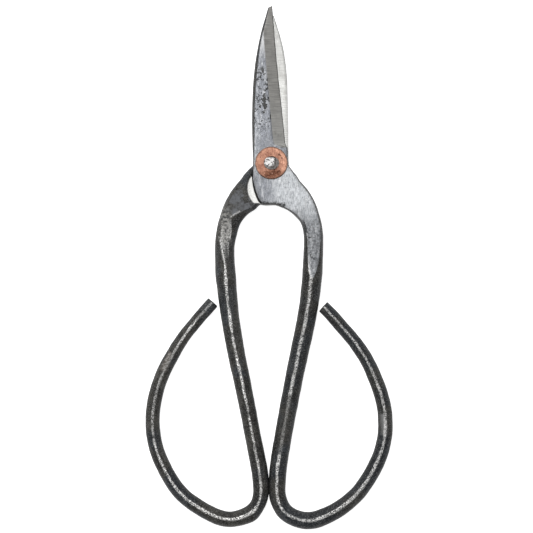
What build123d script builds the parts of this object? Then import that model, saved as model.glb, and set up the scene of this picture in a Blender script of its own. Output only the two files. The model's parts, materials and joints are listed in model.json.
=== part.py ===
from build123d import *
import os
from math import radians

# Hand-forged floral snips, closed and lying flat. The origin is on the rivet's axis, at the flat of the rear
# rivet head that the snips lie on. +Y points to the blade tips, and +Z up, out of the front rivet head.
# Lengths are in millimetres and angles in degrees.

# Stack at the rivet
HEAD_HEIGHT = 1.2
WASHER_THICKNESS = 0.8
PLATE_TOP = 3.0  # from the lap plane to a half's ground outer face
LAP_GAP = 0.1  # between the two sliding faces
WASHER_PLAY = 0.04  # under the front washer, where the front half turns
LAP_HEIGHT = HEAD_HEIGHT + WASHER_THICKNESS + PLATE_TOP
STACK_HEIGHT = 2 * LAP_HEIGHT + WASHER_PLAY

# Rivet and washers
RIVET_RADIUS = 2.0
PIVOT_CLEARANCE = 0.04  # radial, in the front half only
HEAD_RADIUS = 2.6
HEAD_FLAT_RADIUS = 1.6
HEAD_FACETS = 7
WASHER_RADIUS = 5.5
WASHER_CHAMFER = 0.2

# Blade
TAPER_START = 10  # Y where the blade starts to thin
BLADE_END = 54
TIP_THICKNESS = 1.3
EDGE_THICKNESS = 0.35  # left on the cutting edge, from the lap plane
FLAT_CHAMFER = 0.4  # around the ground outer face
# Two sections of the ground bevel: (Y, X of the grind line, height there, X of the cutting edge)
BEVEL_SECTIONS = [(5.6, 1.0, PLATE_TOP, 4.95), (56, -3.7, 1.22, 0.05)]

# Lap recess in the back of each half, where the other half turns
PIVOT_RECESS_RADIUS = 7.6
BORDER_RECESS_RADIUS = 7.35
BORDER_RECESS_CENTRE = (1.0, -8.35)
ARCH_LIP_CORNER = (4.2, -13.45)  # right of and below it the bar keeps its full thickness, down to the arch

# Flat ground on top of the bar: (Y, height above the lap plane), from the shoulder to where it runs out
BAR_FLAT = [(-14, PLATE_TOP), (-34, 2.82), (-42, 3.6)]

REACH = 30  # how far a cutting block goes past what it cuts

# Each half is described from its ground face, with its handle on the right and the lap plane at Z = 0. Its bar
# starts with a short straight under the ground flat. Each bend is then (length, turn to the left, width and
# thickness at its end).
FRONT = dict(
    spine=[(-6.3, 0), (-6.65, 17), (-5.7, 33), (-3.5, 45), (-1.1, 53.2)],
    tip=(0.25, 53.9),
    edge_middle=(1.95, 33.3),
    heel=(4.75, 6.6),
    ricasso=(5.55, 4.9),
    shoulder=[(6.2, -1), (8.2, -3.6), (12.2, -9.3), (14.6, -14.5), (16.1, -21), (16.2, -28), (14.6, -35)],
    arch=[(13.2, -35), (12.3, -28), (11.3, -22), (9.2, -18.2), (6.4, -15.8), (2.7, -14.2)],
    border=[(-3.45, -13.95), (-5.0, -11.4), (-6.1, -8.2), (-6.6, -4.8)],
    bar_start=(2.35, -7.6),
    heading=-34,
    start_size=(13.6, 5.4),
    bends=[
        (5, 0, 11.1, 5.6),
        (5, -16, 9.1, 5.9),
        (6, -19, 6.9, 6.3),
        (6.5, -20.5, 6.6, 6.5),
        (10.5, -4, 6.9, 6.8),
        (23, -9, 6.4, 6.3),
        (39.5, 3, 5.85, 5.8),
        (14, 8, 5.5, 5.5),
        (13.5, 73.5, 5.9, 5.7),
        (7, 38, 5.9, 5.8),
        (10, 16.5, 5.4, 5.3),
        (44.5, 74, 4.9, 4.8),
        (34, 27.5, 4.4, 4.3),
    ],
)
REAR = dict(
    spine=[(-5.9, 0), (-5.6, 20), (-5.2, 31), (-3.9, 40), (-0.9, 50.4)],
    tip=(0.2, 51.2),
    edge_middle=(1.9, 32),
    heel=(4.7, 6.6),
    ricasso=(5.45, 4.9),
    shoulder=[(6.6, -1), (8.7, -3.5), (12.9, -9.3), (15.6, -14.5), (17.6, -21), (18.0, -28), (16.4, -35)],
    arch=[(15.0, -35), (13.8, -28), (12.5, -23), (10.2, -18.9), (7.0, -16.1), (2.7, -14.2)],
    border=[(-3.45, -13.95), (-5.0, -11.4), (-6.05, -8.2), (-6.35, -4.8)],
    bar_start=(3.4, -6.75),
    heading=-39,
    start_size=(13.4, 5.4),
    bends=[
        (5, 0, 10.9, 5.6),
        (5.5, -13, 9.1, 5.9),
        (6, -14.5, 7.5, 6.3),
        (11, -26, 6.6, 6.5),
        (9, -2, 7.0, 6.8),
        (14, -3.5, 6.2, 6.1),
        (17.5, -4.5, 5.9, 5.8),
        (40.5, 4.5, 5.25, 5.2),
        (15, 82, 5.4, 5.2),
        (6, 32.5, 5.3, 5.2),
        (26, 47, 5.0, 4.9),
        (38, 56.5, 4.8, 4.7),
        (12, 5.5, 4.3, 4.2),
        (14, 6, 4.3, 4.2),
    ],
)


def bar_section(spot, along, size):
    """The bar's oval section at a spot on its centre line."""
    across = along.cross(Vector(0, 0, 1))
    with BuildSketch(Plane(origin=spot, x_dir=across, z_dir=along)) as section:
        Ellipse(size[0] / 2, size[1] / 2)
    return section.sketch.face()


def forged_bar(half):
    """The bar, from under the ground flat, round the shoulder and the finger loop, to its cut end."""
    spot = Vector(*half["bar_start"])
    along = Vector(1, 0).rotate(Axis.Z, half["heading"])
    size = half["start_size"]
    runs = []
    for length, turn, *end_size in half["bends"]:
        with BuildLine() as run:
            if turn:
                JernArc(spot, along, length / radians(abs(turn)), turn)
            else:
                Line(spot, spot + along * length)
        start = bar_section(spot, along, size)
        spot, along, size = run.line @ 1, run.line % 1, end_size
        runs.append((run.wires()[0], [start, bar_section(spot, along, size)]))
    with BuildPart() as bar:
        for path, sections in runs:
            sweep(sections=sections, path=path, multisection=True)
    return bar.part


def ground_plate(half):
    """The flat part of a half: blade, pivot and the ground face that runs onto the shoulder."""
    with BuildPart() as plate:
        with BuildSketch(Plane.XY.offset(LAP_GAP / 2)):
            with BuildLine():
                Spline(*half["spine"])
                Line(half["spine"][-1], half["tip"])
                ThreePointArc(half["tip"], half["edge_middle"], half["heel"])
                Polyline(half["heel"], half["ricasso"], half["shoulder"][0])
                Spline(*half["shoulder"])
                Line(half["shoulder"][-1], half["arch"][0])
                Spline(*half["arch"])
                Line(half["arch"][-1], half["border"][0])
                Spline(*half["border"], half["spine"][0])
            make_face()
        extrude(amount=PLATE_TOP - LAP_GAP / 2)
        chamfer(plate.faces().sort_by(Axis.Z)[-1].edges(), FLAT_CHAMFER)
    return plate.part


def ground_off(profile):
    """The stock that flat grinding takes off: all that is above a line of (Y, Z) points."""
    with BuildPart() as stock:
        with BuildSketch(Plane.YZ.offset(-REACH)):
            with BuildLine():
                line = Polyline(*profile)
                top = profile[0][1] + REACH
                Polyline(line @ 1, (profile[-1][0], top), (profile[0][0], top), line @ 0)
            make_face()
        extrude(amount=2 * REACH)
    return stock.part


def bevel_off():
    """The stock that grinding takes off between the grind line and the cutting edge, as a ruled face."""
    with BuildPart() as stock:
        for y, grind_x, grind_height, edge_x in BEVEL_SECTIONS:
            fall = (grind_height - EDGE_THICKNESS) / (edge_x - grind_x)
            with BuildSketch(Plane.XZ.offset(-y)):
                with BuildLine():
                    Polyline(
                        (grind_x - 1, grind_height + fall),
                        (edge_x + 1, EDGE_THICKNESS - fall),
                        (edge_x + REACH, EDGE_THICKNESS - fall),
                        (edge_x + REACH, grind_height + REACH),
                        (grind_x - 1, grind_height + REACH),
                        close=True,
                    )
                make_face()
        loft(ruled=True)
    return stock.part


def forged_half(half, hole_radius):
    """One half, with its bar cut back on the lap side for the other half, then ground and drilled."""
    bar = forged_bar(half)
    plate = ground_plate(half)
    blade_stock = ground_off([(TAPER_START, PLATE_TOP), (BLADE_END, TIP_THICKNESS), (BLADE_END + 1, TIP_THICKNESS)])
    bar_stock = ground_off(BAR_FLAT)
    bevel_stock = bevel_off()
    with BuildPart() as body:
        add(bar)
        with BuildSketch(Plane.XY.offset(LAP_GAP / 2)):
            with Locations(BORDER_RECESS_CENTRE):
                Circle(BORDER_RECESS_RADIUS)
            with Locations(ARCH_LIP_CORNER):
                Rectangle(REACH, REACH, align=(Align.MIN, Align.MAX), mode=Mode.SUBTRACT)
            Circle(PIVOT_RECESS_RADIUS)
        extrude(amount=-REACH, mode=Mode.SUBTRACT)
        add(plate)
        add(blade_stock, mode=Mode.SUBTRACT)
        add(bar_stock, mode=Mode.SUBTRACT)
        add(bevel_stock, mode=Mode.SUBTRACT)
        Hole(hole_radius)
    return body.part


def write(part, name):
    part.label = name
    export_step(part, f"parts/{name}.step")


os.makedirs("parts", exist_ok=True)

# Front half: its ground face is up
front_forging = forged_half(FRONT, RIVET_RADIUS + PIVOT_CLEARANCE)
with BuildPart() as front_half:
    with Locations((0, 0, LAP_HEIGHT)):
        add(front_forging)
write(front_half.part, "front_half")

# Rear half: the same kind of forging turned over
rear_forging = forged_half(REAR, RIVET_RADIUS)
with BuildPart() as rear_half:
    with Locations(Location((0, 0, LAP_HEIGHT), (0, 180, 0))):
        add(rear_forging)
write(rear_half.part, "rear_half")

# Rivet, with a hammered facetted head at each end
with BuildPart() as rivet:
    for base, crown in ((HEAD_HEIGHT, 0), (STACK_HEIGHT - HEAD_HEIGHT, STACK_HEIGHT)):
        with BuildSketch(Plane.XY.offset(base)):
            RegularPolygon(HEAD_RADIUS, HEAD_FACETS)
        with BuildSketch(Plane.XY.offset(crown)):
            RegularPolygon(HEAD_FLAT_RADIUS, HEAD_FACETS)
        loft()
    with BuildSketch(Plane.XY.offset(HEAD_HEIGHT)):
        Circle(RIVET_RADIUS)
    extrude(amount=STACK_HEIGHT - 2 * HEAD_HEIGHT)
write(rivet.part, "rivet")

# A copper washer under each rivet head
for name, height in (
    ("front_washer", STACK_HEIGHT - HEAD_HEIGHT - WASHER_THICKNESS),
    ("rear_washer", HEAD_HEIGHT),
):
    with BuildPart() as washer:
        with BuildSketch(Plane.XY.offset(height)):
            Circle(WASHER_RADIUS)
            Circle(RIVET_RADIUS, mode=Mode.SUBTRACT)
        extrude(amount=WASHER_THICKNESS)
        rims = washer.edges().filter_by(GeomType.CIRCLE).group_by(lambda edge: edge.radius)[-1]
        chamfer(rims, WASHER_CHAMFER)
    write(washer.part, name)
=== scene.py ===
import json
import math

import bmesh
import bpy
import numpy as np
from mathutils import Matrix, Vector, noise


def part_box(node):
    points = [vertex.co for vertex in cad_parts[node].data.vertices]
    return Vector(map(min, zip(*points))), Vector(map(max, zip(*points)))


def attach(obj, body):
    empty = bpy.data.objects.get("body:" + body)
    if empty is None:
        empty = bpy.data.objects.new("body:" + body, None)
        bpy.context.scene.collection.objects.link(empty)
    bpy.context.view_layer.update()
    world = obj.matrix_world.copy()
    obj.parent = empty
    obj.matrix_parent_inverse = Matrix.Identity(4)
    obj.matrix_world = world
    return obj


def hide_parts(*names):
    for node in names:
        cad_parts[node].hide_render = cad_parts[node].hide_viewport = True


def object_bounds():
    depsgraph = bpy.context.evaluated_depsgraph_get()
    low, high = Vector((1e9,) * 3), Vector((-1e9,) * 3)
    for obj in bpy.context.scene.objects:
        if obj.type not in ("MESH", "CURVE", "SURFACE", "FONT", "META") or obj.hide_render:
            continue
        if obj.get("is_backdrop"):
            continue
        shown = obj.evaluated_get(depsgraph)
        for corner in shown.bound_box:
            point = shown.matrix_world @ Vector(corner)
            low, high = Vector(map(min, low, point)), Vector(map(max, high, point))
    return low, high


# The looks of a pair of hand-forged floral snips. Each CAD solid is replaced by a mesh of the same piece. A
# half is one forging, made ring by ring from the cut end of its bar to the tip of its blade.
# Lengths are in millimetres until a mesh is written, in metres.
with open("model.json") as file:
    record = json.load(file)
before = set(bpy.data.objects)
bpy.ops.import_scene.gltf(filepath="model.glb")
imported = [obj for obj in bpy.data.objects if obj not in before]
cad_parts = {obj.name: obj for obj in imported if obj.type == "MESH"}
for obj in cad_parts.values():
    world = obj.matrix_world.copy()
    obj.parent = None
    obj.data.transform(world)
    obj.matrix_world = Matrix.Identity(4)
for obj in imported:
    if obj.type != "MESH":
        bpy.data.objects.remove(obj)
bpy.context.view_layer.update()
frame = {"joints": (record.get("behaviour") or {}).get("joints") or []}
MM = 0.001

# --- The forgings, as the CAD describes them ---
# Each is seen from its ground face, with its handle on the right and the lap plane at z = 0.
LAP_HEIGHT = frame["joints"][0]["pos_m"][2] / MM
LAP_FACE = 0.05  # from the lap plane to a half's sliding face
PLATE_TOP = 3.0
TAPER_START, BLADE_END, TIP_THICKNESS = 10, 54, 1.3
EDGE_THICKNESS = 0.35
BEVEL_SECTIONS = [(5.6, 1.0, PLATE_TOP, 4.95), (56, -3.7, 1.22, 0.05)]  # Y, grind line X and height, edge X
BEVEL_END = 5.2  # Y where the bevel has run out
WHEEL_START, WHEEL_RISE, WHEEL_POWER = 7.1, 0.36, 3.5  # how the wheel curves up and out at the bevel's heel
PIVOT_RECESS_RADIUS = 7.6
BORDER_RECESS_RADIUS = 7.35
BORDER_RECESS_CENTRE = np.array((1.0, -8.35))
BORDER_RECESS_END = -13.45  # Y where the border recess stops short of the arch
ARCH_RECESS_END = 3.7  # and X where the other half's foot needs it down to the arch
BAR_FLAT = [(-42, 3.6), (-34, 2.82), (-14, PLATE_TOP)]  # Y and height of the flat ground on the bar

# A bend of the bar is (length, turn to the left, width and thickness at its end). A stray is a place where
# the hand-forged bar is a little off its bends: (X, Y, reach, shift in X and in Y).
FRONT = dict(
    turned=False,
    spine=[(-6.3, 0), (-6.65, 17), (-5.7, 33), (-3.5, 45), (-1.1, 53.2)],
    edge=[(4.75, 6.6), (3.65, 17.5), (1.95, 33.3), (0.25, 53.9)],
    rows=[6.8, 9, 13, 18, 24, 30, 36, 42, 46.5, 50],
    border=[(2.5, -14.62), (1.6, -14.35), (-1.2, -14.25), (-3.4, -14.0), (-4.1, -13.4), (-5.4, -10.9),
            (-6.2, -8.2), (-6.65, -4.9), (-6.42, -1.6), (-6.3, 1.6), (-6.4, 4.2)],
    neck=[(9.12, -4.88), (8.5, -4.0), (7.55, -2.9), (6.95, -2.1), (6.55, -1.6), (6.1, -0.95),
          (5.75, -0.3), (5.62, 0.7), (5.6, 2.4), (5.6, 3.8), (5.55, 4.9)],
    bar_start=(2.35, -7.6),
    heading=-34,
    start_size=(13.6, 5.4),
    bends=[(5, 0, 11.1, 5.6), (5, -16, 9.1, 5.9), (6, -19, 6.9, 6.3), (6.5, -20.5, 6.6, 6.5),
           (10.5, -4, 6.9, 6.8), (23, -9, 6.4, 6.3), (39.5, 3, 5.85, 5.8), (14, 8, 5.5, 5.5),
           (13.5, 73.5, 5.9, 5.7), (7, 38, 5.9, 5.8), (10, 16.5, 5.4, 5.3), (44.5, 74, 4.9, 4.8),
           (34, 27.5, 4.4, 4.3)],
    strays=[(3.0, -119.5, 4.5, -0.28, -0.33), (36.5, -107, 7, -0.3, 0.15), (26, -53, 5, -0.28, -0.25),
            (34, -66, 6, 0.28, 0.16)],
)
REAR = dict(
    turned=True,
    spine=[(-5.9, 0), (-5.6, 20), (-5.2, 31), (-3.9, 40), (-0.9, 50.4)],
    edge=[(4.7, 6.6), (3.6, 17.5), (1.9, 32), (0.2, 51.2)],
    rows=[6.8, 9, 13, 18, 24, 29, 34, 39, 43.5, 47.5],
    border=[(2.7, -14.28), (1.6, -14.35), (-1.2, -14.25), (-3.4, -14.0), (-4.1, -13.4), (-5.4, -10.9),
            (-6.15, -8.2), (-6.4, -4.9), (-6.15, -1.4), (-5.9, 1.6), (-5.85, 4.2)],
    neck=[(10.1, -4.8), (9.6, -4.0), (8.45, -2.75), (7.7, -2.0), (7.1, -1.45), (6.45, -0.85),
          (5.9, -0.2), (5.7, 0.8), (5.6, 2.4), (5.55, 3.8), (5.45, 4.9)],
    bar_start=(3.4, -6.75),
    heading=-39,
    start_size=(13.4, 5.4),
    bends=[(5, 0, 10.9, 5.6), (5.5, -13, 9.1, 5.9), (6, -14.5, 7.5, 6.3), (11, -26, 6.6, 6.5),
           (9, -2, 7.0, 6.8), (14, -3.5, 6.2, 6.1), (17.5, -4.5, 5.9, 5.8), (40.5, 4.5, 5.25, 5.2),
           (15, 82, 5.4, 5.2), (6, 32.5, 5.3, 5.2), (26, 47, 5.0, 4.9), (38, 56.5, 4.8, 4.7),
           (12, 5.5, 4.3, 4.2), (14, 6, 4.3, 4.2)],
    strays=[(3.8, -119, 4.5, -0.28, -0.33), (36.3, -106, 7, -0.35, 0.18), (22.4, -46.6, 4, -0.2, -0.18),
            (31.8, -60, 6, 0.25, 0.18), (15.5, -24, 6, -0.35, 0), (5.5, -15.4, 2.2, -0.05, -0.3),
            (25.5, -117.5, 7, -0.15, 0.28), (37.8, -77, 6, -0.15, 0), (4.3, -103.5, 7, -0.28, 0)],
    lip=(5.4, -14.2, 2.6, 0.6),  # the foot's edge on the arch: X, Y where it starts, reach to each side, drop
)

# --- Rings ---
BAR_STEP = 0.45  # between two rings
BLADE_STEP = 0.36
FINE_FROM, FINE_STEP = 9.0, 0.12  # from this far along the bar to its join, where the recess starts
BAR_JOIN = 5.0  # along the bar: nearer the blade than this, the rings follow the outline
FLANK, MIDDLE, CROWN, RECESS = 9, 9, 16, 14  # faces in each strip of a ring
KEY_ANGLE = math.radians(68)  # where a round flank ends and its crown starts
SHOULDER_ANGLE = math.radians(60)  # and where a flank beside a flat ends
FLANK_REACH = 0.45  # how far in from the outline that is
SPINE_REACH = 0.95  # the dark chamfer along a blade's back
# Along the cutting edge that strip keeps dark scale as painted shade of the gap between the blades
EDGE_REACH = 0.22  # the dark strip along its cutting edge
ROLL_WIDTH, ROLL_DROP = 0.4, 0.08  # how grinding rolls off the rim of a flat
STEP_WALL = 0.28  # how far the lap recess's wall slopes
TOUCH_Y, TOUCH_SHIFT = -110.2, 0.31  # where the two finger loops bulge until they touch, and how far
TOUCH_FADE = (12, 6)  # how far the bulge reaches above and below that
TOUCH_RINGS = 9  # the rings of a loop's inner side stay left of this X
ROUND_ALONG = 60  # further than this along the bar its top is all round
FLAT_FADE = (-37.3, -40.5)  # Y from where the flat starts to turn round, to where it is round
FLAT_ANGLE = math.radians(84)  # where the flank beside the flat ends, once it is nearly round
MIN_LIP = 0.12  # a recess wall nearer the outer side than this is left out
MIN_ARCH_LIP = 0.15  # and nearer the arch side than this
BLADE_FROM = 5  # Y, on the edge side, where the blade starts
BACK_ROLL_WIDTH, BACK_ROLL_DROP = 0.3, 0.09  # the rim of the blade's back
NECK_SCALE = (6.0, -4.0)  # right of and above this the sliding side keeps its scale
END_SIZE, END_REACH = 0.88, 0.22  # the chamfer of the bar's cut end: size of the end face, and length
MERGE = 0.004  # points closer than this become one
HAMMER_MARKS = [(0.085, 4.5), (0.045, 1.7)]  # depth and size
GROUND_MARKS = 0.12  # their strength on the ground faces
# The flat on the bar: Y, and how far in from the arch side and from the outer side it starts
FLAT_REACH = [(-39.2, 3.3, 3.3), (-37, 2.3, 2.3), (-33.5, 1.6, 1.5), (-29.5, 1.3, 1.25), (-26, 1.1, 0.95),
              (-22, 0.85, 0.8), (-19, 0.65, 0.75), (-14, 0.5, 0.65)]
# Forge facets on the raised shoulder: distance along the bar, then three ridges, each as its place across
# from the outer side (0) to the arch side (1) and its height as a share of the round bar's
FACETS = [
    (3, 0.12, 0.80, 0.91, 0.80, 0.975, 0.5),
    (8.4, 0.13, 0.84, 0.90, 0.86, 0.965, 0.5),
    (10.8, 0.14, 0.86, 0.84, 0.92, 0.93, 0.52),
    (13.2, 0.15, 0.86, 0.72, 0.95, 0.88, 0.55),
    (15.5, 0.15, 0.85, 0.5, 0.97, 0.86, 0.56),
    (20, 0.16, 0.82, 0.72, 0.93, 0.88, 0.62),
    (25.5, 0.3, 0.94, 0.76, 0.84, 0.88, 0.66),
    (30.5, 0.47, 1.0, 0.76, 0.88, 0.87, 0.68),
]
FACETS_END = (29, 38)  # along the bar, where they fade into the round
RECESS_FOLD = 0.8  # across the bar, where the recess first cuts into it
SCALE, FLAT, BEVEL, INNER = range(4)  # a half's surfaces, in the order of its materials


def ease(x):
    x = np.clip(x, 0, 1)
    return x * x * (3 - 2 * x)


def fade(value, start, end):
    """0 at start and 1 at end, eased."""
    return float(ease((value - start) / (end - start)))


def through(points, count):
    """Evenly spaced points on a smooth line through a few given points."""
    p = np.array(points, float)
    knots = np.concatenate([[0], np.cumsum(np.linalg.norm(np.diff(p, axis=0), axis=1))])
    slope = np.gradient(p, knots, axis=0)
    at = np.linspace(0, knots[-1], count)
    i = np.clip(np.searchsorted(knots, at, side="right") - 1, 0, len(p) - 2)
    h = (knots[i + 1] - knots[i])[:, None]
    t = (at - knots[i])[:, None] / h
    return ((2 * t**3 - 3 * t**2 + 1) * p[i] + (t**3 - 2 * t**2 + t) * h * slope[i]
            + (3 * t**2 - 2 * t**3) * p[i + 1] + (t**3 - t**2) * h * slope[i + 1])


def averaged(values):
    """Running average over the samples of a bar, which rounds off where one bend meets the next."""
    reach = 30
    padded = np.pad(values, reach, mode="edge")
    return np.convolve(padded, np.ones(2 * reach + 1) / (2 * reach + 1), mode="valid")


def bar_rings(half):
    """The bar's rings, from its cut end to BAR_JOIN: left, right, distance along and thickness."""
    step = 0.05  # between samples of the bends
    ends = np.concatenate([[0], np.cumsum([bend[0] for bend in half["bends"]])])
    s = np.arange(0, ends[-1], step)
    turn_rate = np.array([math.radians(turn) / length for length, turn, _, _ in half["bends"]])
    turning = averaged(turn_rate[np.searchsorted(ends, s, "right") - 1])
    heading = math.radians(half["heading"]) + np.cumsum(turning) * step
    ahead = np.stack([np.cos(heading), np.sin(heading)], axis=1)
    centre = np.array(half["bar_start"]) + (np.cumsum(ahead, axis=0) - ahead[0]) * step
    sizes = np.array([half["start_size"]] + [bend[2:] for bend in half["bends"]])
    at = np.linspace(s[-1], FINE_FROM, int((s[-1] - FINE_FROM) / BAR_STEP))
    at = np.concatenate([at, np.linspace(FINE_FROM, BAR_JOIN, int((FINE_FROM - BAR_JOIN) / FINE_STEP))[1:]])
    pick = lambda values: np.interp(at, s, values)
    turn = pick(heading)
    width, thickness = (pick(averaged(np.interp(s, ends, sizes[:, k]))) for k in (0, 1))
    middle = np.stack([pick(centre[:, 0]), pick(centre[:, 1])], axis=1)
    across = np.stack([-np.sin(turn), np.cos(turn)], axis=1) * width[:, None] / 2
    return middle - across, middle + across, at, thickness


def plate_rings(half, first_left, first_right):
    """The rings of the pivot and the blade, which go straight across from one outline to the other."""
    samples = 400
    spine, edge = through(half["spine"], samples), through(half["edge"], samples)
    rows = np.array(half["rows"])
    spine_row = np.stack([np.interp(rows, spine[:, 1], spine[:, 0]), rows], axis=1)
    edge_row = np.stack([np.interp(rows, edge[:, 1], edge[:, 0]), rows], axis=1)
    left = np.vstack([[first_left], half["border"], spine_row, [half["spine"][-1]]])
    right = np.vstack([[first_right], half["neck"], edge_row, [half["edge"][-1]]])
    pairs = np.hstack([left, right])
    length = np.linalg.norm(np.diff(pairs, axis=0), axis=1).sum() / math.sqrt(2)
    ribs = through(pairs, int(length / BLADE_STEP))[1:]
    return ribs[:, :2], ribs[:, 2:]


def plate_height(x, y):
    """Height of the ground face: the flat, thinning to the tip, and the bevel ground into it."""
    top = PLATE_TOP - np.maximum(0, y - TAPER_START) / (BLADE_END - TAPER_START) * (PLATE_TOP - TIP_THICKNESS)
    (y0, *first), (y1, *last) = BEVEL_SECTIONS
    t = (y - y0) / (y1 - y0)
    grind_x, grind_height, edge_x = (a + (b - a) * t for a, b in zip(first, last))
    bevel = grind_height - (grind_height - EDGE_THICKNESS) * (x - grind_x) / (edge_x - grind_x)
    bevel = bevel + WHEEL_RISE * np.maximum(0, WHEEL_START - y) ** WHEEL_POWER
    return np.where(y > BEVEL_END, np.minimum(top, bevel), top), top


def flank(reach, angle, low, high):
    """Across and height of a rounded side, from the silhouette up to its crown or flat."""
    t = np.linspace(0, angle, FLANK + 1)
    return reach * (1 - np.cos(t)) / (1 - math.cos(angle)), low + (high - low) * np.sin(t) / math.sin(angle)


def rolled(a, z, start, end, drop):
    """Heights of a flat from start to end across, with its two rims rolled off by drop."""
    near = np.minimum(a - start, end - a)
    return z - drop * (1 - ease(near / ROLL_WIDTH))


def bar_top(width, crown, y, along):
    """The bar's top: round, and nearer the shoulder ground to a flat. Returns across, height and surfaces."""
    round_reach = width / 2 * (1 - math.cos(KEY_ANGLE))
    side, rise = flank(round_reach, KEY_ANGLE, 0, crown * math.sin(KEY_ANGLE))
    middle = np.linspace(round_reach, width - round_reach, 2 * MIDDLE + 1)
    a = np.concatenate([side[:-1], middle, width - side[-2::-1]])
    arc = crown * np.sqrt(np.clip(1 - (2 * middle / width - 1) ** 2, 0, 1))
    z = np.concatenate([rise[:-1], arc, rise[-2::-1]])
    is_round = 1.0 if along > ROUND_ALONG else fade(y, *FLAT_FADE)
    if is_round < 1:
        plane = float(np.interp(y, *zip(*BAR_FLAT)))
        rows, arch_side, outer_side = zip(*FLAT_REACH)
        near, far = (min(np.interp(y, rows, side), 0.46 * width) for side in (arch_side, outer_side))
        angle = SHOULDER_ANGLE + (FLAT_ANGLE - SHOULDER_ANGLE) * fade(y, -28, -37)
        drop = ROLL_DROP * fade(y, -38, -34)
        near_side, near_rise = flank(near, angle, 0, plane - drop)
        far_side, far_rise = flank(far, angle, 0, plane - drop)
        middle = np.linspace(near, width - far, 2 * MIDDLE + 1)
        flat_a = np.concatenate([near_side[:-1], middle, width - far_side[-2::-1]])
        flat = rolled(middle, plane, near, width - far, drop)
        flat_z = np.concatenate([near_rise[:-1], flat, far_rise[-2::-1]])
        a, z = flat_a + is_round * (a - flat_a), flat_z + is_round * (z - flat_z)
    surface = FLAT if is_round < 0.4 else SCALE
    return a, z, [SCALE] * FLANK + [surface] * (2 * MIDDLE) + [SCALE] * FLANK


def plate_top(left, right, width):
    """The top of a ring across the pivot or the blade, with the grind line between its two middle strips."""
    at = lambda a: left + (right - left) * np.atleast_1d(a)[:, None] / width
    height = lambda a: plate_height(*at(a).T)[0]
    blade = fade(left[1], 0, 12) * (1 - 0.5 * fade(left[1], 32, 44))
    border = 0.55 * fade(left[1], -5, -10)
    left_reach = min(FLANK_REACH + (SPINE_REACH - FLANK_REACH) * max(blade, border), width / 5)
    thick = fade(height(width - EDGE_REACH)[0], 0.6, 2.4)
    # At the thin cutting edge the right flank is dark scale, painted shade of the gap between the blades
    right_reach = EDGE_REACH + (FLANK_REACH - EDGE_REACH) * thick + 0.13 * fade(right[1], -1, -5)
    fine = np.linspace(left_reach, width - right_reach, 300)
    z, top = plate_height(*at(fine).T)
    cut = z < top - 0.002
    grind = fine[np.argmax(cut)] if cut.any() else 0.62 * width
    grind = min(max(grind, left_reach + 0.01), width - right_reach - 0.01)
    to_grind = np.linspace(left_reach, grind, MIDDLE + 1)
    middle = np.concatenate([to_grind, np.linspace(grind, width - right_reach, MIDDLE + 1)[1:]])
    rise = height(middle)
    left_roll = (1 - ease((middle - left_reach) / ROLL_WIDTH)) * (rise > 1)
    right_roll = (1 - ease((width - right_reach - middle) / ROLL_WIDTH)) * thick
    rise = rise - ROLL_DROP * (left_roll + right_roll)
    left_side, left_rise = flank(left_reach, SHOULDER_ANGLE, LAP_FACE, rise[0])
    right_side, right_rise = flank(right_reach, SHOULDER_ANGLE, LAP_FACE, rise[-1])
    a = np.concatenate([left_side[:-1], middle, width - right_side[-2::-1]])
    z = np.concatenate([left_rise[:-1], rise, right_rise[-2::-1]])
    bevel = BEVEL if cut.any() else FLAT
    return a, z, [SCALE] * FLANK + [FLAT] * MIDDLE + [bevel] * MIDDLE + [SCALE] * FLANK


def recess_span(left, right, width):
    """Where the lap recess lies on a ring, as two distances from the arch side, or None."""
    a = np.linspace(0, width, 600)
    p = left + (right - left) * a[:, None] / width
    inside = np.hypot(*(p - BORDER_RECESS_CENTRE).T) < BORDER_RECESS_RADIUS
    inside &= (p[:, 1] > BORDER_RECESS_END) | (p[:, 0] < ARCH_RECESS_END)
    inside |= np.hypot(*p.T) < PIVOT_RECESS_RADIUS
    if not inside.any():
        return None
    near, far = a[inside][0], a[inside][-1]
    return (0.0 if near < MIN_ARCH_LIP else float(near)), float(far)


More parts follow.
